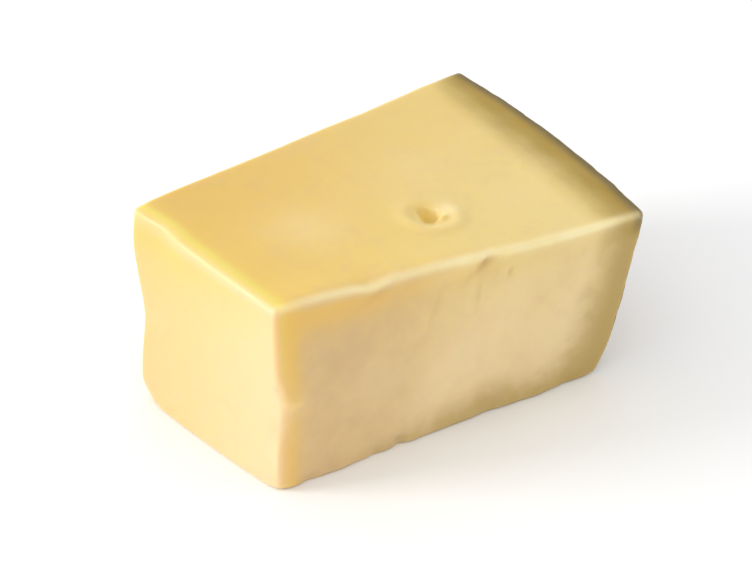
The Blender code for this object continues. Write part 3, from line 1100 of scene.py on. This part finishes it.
@dataclass
class CheeseBlock:
    """The block of cheese: its sizes, its fine mesh and what that mesh carries for the finish."""

    name: str = "cheese_body"
    inner_top: CrossEdge = CrossEdge(-73.5 * MM, 72.2 * MM, -0.1 * MM, -3.9 * MM, 73.7 * MM, 3.8 * MM)
    inner_foot: CrossEdge = CrossEdge(-73.9 * MM, 71.8 * MM, -0.8 * MM, -4.6 * MM)
    rind_top: CrossEdge = CrossEdge(71.1 * MM, 104.3 * MM, 0.1 * MM, 6.0 * MM, 62.4 * MM, 3.8 * MM)
    rind_foot: CrossEdge = CrossEdge(58.8 * MM, 98.7 * MM, -0.3 * MM, 6.9 * MM)
    rind_side: RindSide = RindSide()
    inner_end: InnerEnd = InnerEnd()
    eye: Eye = Eye()
    blank: Vector = field(default_factory=lambda: Vector((140.0, 87.0, 67.0)) * MM)
    edge_radius: float = 1.8 * MM
    edge_steps: int = 4
    cell: float = 0.85 * MM
    eye_rings: tuple[float, ...] = (15.0 * MM, 8.5 * MM)
    face_hold: float = 10.0
    flat_tolerance: float = 0.001 * MM
    stain: StainAndFootShade = StainAndFootShade()
    painted_edge_light: PaintedEdgeLight = PaintedEdgeLight()
    # Where the painted shade of the front cut starts and fades, by the distance from the inner end.
    painted_shade_starts: tuple[float, float] = (1.0 * MM, 9.0 * MM)
    painted_shade_fades: tuple[float, float] = (14.0 * MM, 98.0 * MM)
    waves: tuple[Wave, ...] = (
        Wave(27.0 * MM, 0.35 * MM),
        Wave(8.0 * MM, 0.08 * MM),
        Wave(3.5 * MM, 0.025 * MM),
    )
    rind_waves: tuple[Wave, ...] = (Wave(9.0 * MM, 0.5 * MM), Wave(3.2 * MM, 0.22 * MM))
    worn: tuple[WornCorner, ...] = (
        WornCorner(-1, 1, 4.2 * MM, 3.4 * MM),
        WornCorner(-1, -1, 1.8 * MM, 2.4 * MM),
        WornCorner(1, -1, 2.2 * MM, 2.6 * MM),
        WornCorner(1, 1, 2.6 * MM, 3.0 * MM),
    )
    # Depth of a crease at which its painted shade is full.
    crease_shade_full_depth: float = 0.7 * MM
    creases: dict[str, Relief] = field(default_factory=front_creases)
    dents: dict[str, Dent] = field(default_factory=dents)
    pale: dict[Face, tuple[Relief, ...]] = field(default_factory=pale_patches)
    reliefs: dict[Face, dict[str, Relief]] = field(default_factory=lambda: {
        Face.FRONT: front_reliefs(),
        Face.BACK: back_reliefs(),
        Face.TOP: top_reliefs(),
    })

    def make(self, finish: bpy.types.Material) -> bpy.types.Object:
        """Build the block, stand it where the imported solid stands, and dress it.

        Args:
            finish: The material of the whole surface.

        Returns:
            The finished object.
        """
        mesh = self.soft_blank()
        self.refine_eye(mesh)
        self.shape(mesh)
        self.flatten_foot(mesh)
        self.stand_on_frame(mesh)
        block = as_object(self.name, mesh, finish)
        block.data.shade_smooth()
        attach(block, "root")
        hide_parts(NODE)
        return block

    def soft_blank(self) -> bmesh.types.BMesh:
        """Make the blank that the block is shaped from.

        Returns:
            A box with softened edges, cut into cells.
        """
        mesh = bmesh.new()
        bmesh.ops.create_cube(mesh, size=1.0)
        bmesh.ops.scale(mesh, vec=self.blank, verts=mesh.verts[:])
        bmesh.ops.translate(mesh, vec=(0.0, 0.0, 0.5 * self.blank.z), verts=mesh.verts[:])
        bmesh.ops.bevel(mesh, geom=mesh.edges[:], offset=self.edge_radius, offset_type='OFFSET',
                        segments=self.edge_steps, profile=0.5, affect='EDGES', material=-1)
        for axis in range(3):
            self.cut_cells(mesh, axis)
        return mesh

    def cut_cells(self, mesh: bmesh.types.BMesh, axis: int) -> None:
        """Cut the flat runs along one axis into equal cells.

        Args:
            mesh: The blank.
            axis: The axis' number: 0, 1 or 2 for X, Y or Z.
        """
        length = self.blank[axis]
        long_edges = [edge for edge in mesh.edges
                      if abs(edge.verts[1].co[axis] - edge.verts[0].co[axis]) > 0.5 * length]
        cuts = round(length / self.cell)
        bmesh.ops.subdivide_edges(mesh, edges=long_edges, cuts=cuts, use_grid_fill=True)

    def shares(self, place: Vector) -> Shares:
        """Return the shares of a place on the blank."""
        return Shares(2.0 * place.x / self.blank.x, 2.0 * place.y / self.blank.y, place.z / self.blank.z)

    def in_ring(self, place: Vector, ring: float) -> bool:
        """Return whether a place of the blank's top lies within a distance of the eye."""
        on_top = place.z > self.blank.z - self.flat_tolerance
        return on_top and (self.plain_point(self.shares(place))[0].xy - self.eye.place).length < ring

    def refine_eye(self, mesh: bmesh.types.BMesh) -> None:
        """Cut the cells of the top finer around the eye, once for each ring.

        Args:
            mesh: The blank.
        """
        for ring in self.eye_rings:
            near = {vertex for vertex in mesh.verts if self.in_ring(vertex.co, ring)}
            edges = [edge for edge in mesh.edges if edge.verts[0] in near and edge.verts[1] in near]
            bmesh.ops.subdivide_edges(mesh, edges=edges, cuts=1, use_grid_fill=True)

    def plain_point(self, shares: Shares) -> tuple[Vector, float]:
        """Return the block's point at some shares, and its distance from the rind side.

        Args:
            shares: The place on the block.

        Returns:
            The point between the cross edges, with the shapes of the two ends, and the distance
            along the block from there to the rind side.
        """
        inner = self.inner_foot.point(shares.across).lerp(self.inner_top.point(shares.across), shares.up)
        rind = self.rind_foot.point(shares.across).lerp(self.rind_top.point(shares.across), shares.up)
        share = 0.5 * (shares.along + 1.0)
        rind_out = self.rind_side.stands_out(shares, self.rind_top)
        inner_out = self.inner_end.stands_out(shares, self.inner_top)
        length = rind.x - inner.x
        stretched = share + (share * rind_out - (1.0 - share) * inner_out) / length
        rind_distance = (1.0 - share) * (length + rind_out + inner_out)
        return inner.lerp(rind, stretched), rind_distance

    def face_shares(self, shares: Shares) -> Vector:
        """Return how much a place belongs to the ends, the cuts and the top: 1 on that face."""
        return Vector((shares.along * abs(shares.along) ** self.face_hold,
                       shares.across * abs(shares.across) ** self.face_hold,
                       shares.up ** self.face_hold))

    def painted_crease_shade_at(self, point: Vector, faces: Vector) -> float:
        """Return how much painted shade a place gets in a crease of the front cut, by how deep it lies,
        from 0 to 1.
        """
        depth = -total(self.creases.values(), point.x, point.z)
        return min(1.0, max(-faces.y, 0.0) * depth / self.crease_shade_full_depth)

    def pale_at(self, point: Vector, faces: Vector) -> float:
        """Return how pale a place of the front cut or the top is, from 0 to 1."""
        on_front = total(self.pale[Face.FRONT], point.x, point.z)
        on_top = total(self.pale[Face.TOP], point.x, point.y)
        return min(1.0, max(-faces.y, 0.0) * on_front + faces.z * on_top)

    def carved(self, point: Vector, faces: Vector) -> Vector:
        """Return a point with all the relief that lies on the plain block.

        Args:
            point: The point of the plain block.
            faces: How much the place belongs to the ends, the cuts and the top.

        Returns:
            The point, moved by the waves, the dents, the faces' reliefs, the creases and the eye.
        """
        carved = point + faces * sum(wave.height_at(point) for wave in self.waves)
        carved += sum((knock.push_at(point) for knock in self.dents.values()), Vector())
        carved.x += max(faces.x, 0.0) * sum(wave.height_at(point) for wave in self.rind_waves)
        if faces.y < 0.0:
            carved.y += faces.y * total(self.creases.values(), point.x, point.z)
        side = Face.FRONT if faces.y < 0.0 else Face.BACK
        carved.y += faces.y * total(self.reliefs[side].values(), point.x, point.z)
        on_top = total(self.reliefs[Face.TOP].values(), point.x, point.y)
        carved.z += faces.z * (on_top + self.eye.height_at(point))
        return carved

    def worn_point(self, point: Vector) -> Vector:
        """Wear the foot's corners.

        Args:
            point: A point of the block.

        Returns:
            The point after the wear.
        """
        for corner in self.worn:
            edge = self.rind_foot if corner.inner_or_rind > 0 else self.inner_foot
            point = corner.wear(point, edge.point(corner.front_or_back))
        return point

    def shape(self, mesh: bmesh.types.BMesh) -> None:
        """Move the blank's vertices to the block's form, and note the finish's measures.

        Args:
            mesh: The blank.
        """
        layers = {layer: mesh.verts.layers.float.new(layer.value) for layer in Layer}
        for vertex in mesh.verts:
            shares = self.shares(vertex.co)
            faces = self.face_shares(shares)
            point, rind_distance = self.plain_point(shares)
            for layer, value in self.measures(vertex.co, shares, faces, point, rind_distance).items():
                vertex[layers[layer]] = value
            vertex.co = self.worn_point(self.carved(point, faces))

    def measures(self, place: Vector, shares: Shares, faces: Vector, point: Vector,
                 rind_distance: float) -> dict[Layer, float]:
        """Return what a place carries for the finish.

        Args:
            place: The place on the blank.
            shares: The place on the block, by shares.
            faces: How much the place belongs to the ends, the cuts and the top.
            point: The place on the plain block.
            rind_distance: Its distance from the rind side.

        Returns:
            The value of each layer.
        """
        inner_gap = 0.5 * self.blank.x + place.x
        depth = self.blank.z - place.z
        gaps = Vector((inner_gap, 0.5 * self.blank.y - abs(place.y), depth))
        # Painted shade over the inner part of the front cut.
        inwards = 1.0 - smooth_step(*self.painted_shade_fades, inner_gap)
        inwards *= smooth_step(*self.painted_shade_starts, inner_gap)
        return {
            Layer.RIND_DISTANCE: rind_distance,
            Layer.TOP_DEPTH: depth,
            # The stain under the rind, and painted shade along the foot.
            Layer.STAIN_AND_FOOT_SHADE: mix(self.stain.on_cut(rind_distance, place.z),
                             self.stain.on_top(rind_distance, shares.across), faces.z),
            Layer.PAINTED_SHADE: max(-faces.y, 0.0) * inwards,
            Layer.EYE_HOLLOW: faces.z * self.eye.hollow(point),
            # Painted highlight along the edges, and on the eye's lit wall and rim.
            Layer.PAINTED_HIGHLIGHT: min(1.0, self.painted_edge_light.highlight_at(gaps, shares, rind_distance)
                                  + faces.z * self.eye.cream(point)),
            # Painted highlight and sheen on the lit inner end.
            Layer.PAINTED_END_HIGHLIGHT: self.painted_edge_light.end_highlight_at(gaps, shares),
            # Painted golden glow beside the edges of the cuts.
            Layer.PAINTED_EDGE_GLOW: self.painted_edge_light.glow_at(gaps, shares),
            # Painted yellow glow behind the inner end's edges.
            Layer.PAINTED_YELLOW_GLOW: self.painted_edge_light.yellow_glow_at(gaps),
            # Painted shade in the creases of the front cut.
            Layer.CREASE: self.painted_crease_shade_at(point, faces),
            Layer.PALE: self.pale_at(point, faces),
        }

    def flatten_foot(self, mesh: bmesh.types.BMesh) -> None:
        """Make the foot one flat face, then cut every face of more than four corners into triangles.

        Args:
            mesh: The shaped block.
        """
        foot = [face for face in mesh.faces
                if all(abs(vertex.co.z) < self.flat_tolerance for vertex in face.verts)]
        bmesh.ops.dissolve_faces(mesh, faces=foot)
        bmesh.ops.triangulate(mesh, faces=[face for face in mesh.faces if len(face.verts) > 4],
                              quad_method='BEAUTY', ngon_method='BEAUTY')
        mesh.normal_update()

    def stand_on_frame(self, mesh: bmesh.types.BMesh) -> None:
        """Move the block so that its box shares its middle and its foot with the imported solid's.

        Args:
            mesh: The shaped block.
        """
        low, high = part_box(NODE)
        xs = [vertex.co.x for vertex in mesh.verts]
        ys = [vertex.co.y for vertex in mesh.verts]
        lowest = min(vertex.co.z for vertex in mesh.verts)
        offset = Vector((0.5 * (low.x + high.x - min(xs) - max(xs)),
                         0.5 * (low.y + high.y - min(ys) - max(ys)), low.z - lowest))
        bmesh.ops.transform(mesh, matrix=Matrix.Translation(offset), verts=mesh.verts[:])


@dataclass
class Studio:
    """A pale floor, a soft key light from the back left, and a bright even surround."""

    floor_size: float = 8.0
    floor_colour: Colour = (0.95, 0.95, 0.95, 1.0)
    floor_roughness: float = 0.9
    floor_shine: float = 0.0
    surround_colour: Colour = (0.99, 0.995, 1.0, 1.0)
    surround_strength: float = 0.97
    key_azimuth: float = radians(150)
    key_elevation: float = radians(22)
    key_distance: float = 1.4
    key_size: float = 0.5
    key_power: float = 11.0
    key_colour: tuple[float, float, float] = (1.0, 0.985, 0.96)

    def make(self) -> None:
        """Build the floor, the light and the surround."""
        self.make_floor()
        self.make_key()
        self.make_surround()

    def make_floor(self) -> bpy.types.Object:
        """Build the floor.

        Returns:
            The floor.
        """
        mesh = bmesh.new()
        bmesh.ops.create_grid(mesh, x_segments=1, y_segments=1, size=0.5 * self.floor_size)
        material = bpy.data.materials.new("pale_floor")
        material.use_nodes = True
        NodeGraph(material).dress({
            "Base Color": self.floor_colour,
            "Roughness": self.floor_roughness,
            "Specular IOR Level": self.floor_shine,
        })
        floor = as_object("floor", mesh, material)
        return floor

    def make_key(self) -> bpy.types.Object:
        """Build the key light.

        Returns:
            The light, turned to the block.
        """
        data = bpy.data.lights.new("key", 'AREA')
        data.shape = 'SQUARE'
        data.size = self.key_size
        data.energy = self.key_power
        data.color = self.key_colour
        key = placed("key", data)
        towards = Vector((cos(self.key_azimuth) * cos(self.key_elevation),
                          sin(self.key_azimuth) * cos(self.key_elevation), sin(self.key_elevation)))
        key.location = towards * self.key_distance
        key.rotation_euler = towards.to_track_quat('Z', 'Y').to_euler()
        return key

    def make_surround(self) -> None:
        """Give the scene its even surround."""
        world = bpy.data.worlds.new("surround")
        world.use_nodes = True
        background = world.node_tree.nodes["Background"]
        background.inputs["Color"].default_value = self.surround_colour
        background.inputs["Strength"].default_value = self.surround_strength
        bpy.context.scene.world = world


@dataclass
class PhotoCamera:
    """Camera at the photograph's place: a long lens, looking down on the block's front left."""

    aim: Vector = field(default_factory=lambda: Vector((24.2, 35.3, 0.0)) * MM)
    azimuth: float = radians(-38.04)
    elevation: float = radians(34.54)
    distance: float = 1.06
    focal_pixels: float = 3000.0
    width_pixels: float = 752.0
    sensor: float = 36.0
    nearest: float = 0.01
    farthest: float = 20.0

    def make(self) -> bpy.types.Object:
        """Build the camera and set it as the scene's own.

        Returns:
            The camera.
        """
        data = bpy.data.cameras.new("camera")
        data.sensor_width = self.sensor
        data.lens = self.sensor * self.focal_pixels / self.width_pixels
        data.clip_start = self.nearest
        data.clip_end = self.farthest
        camera = placed("camera", data)
        camera.rotation_euler = Euler((0.5 * pi - self.elevation, 0.0, self.azimuth))
        back = camera.rotation_euler.to_matrix() @ Vector((0.0, 0.0, 1.0))
        camera.location = self.aim + back * self.distance
        bpy.context.scene.camera = camera
        return camera


def main() -> None:
    """Build the block, the studio and the camera."""
    logging.basicConfig(level=logging.INFO, format="%(name)s: %(message)s")
    bpy.context.scene.view_settings.view_transform = 'Standard'
    PhotoCamera().make()
    Studio().make()
    block = CheeseBlock().make(CheeseFinish().build())
    LOG.info("%s: %d faces", block.name, len(block.data.polygons))


if __name__ == "__main__":
    main()
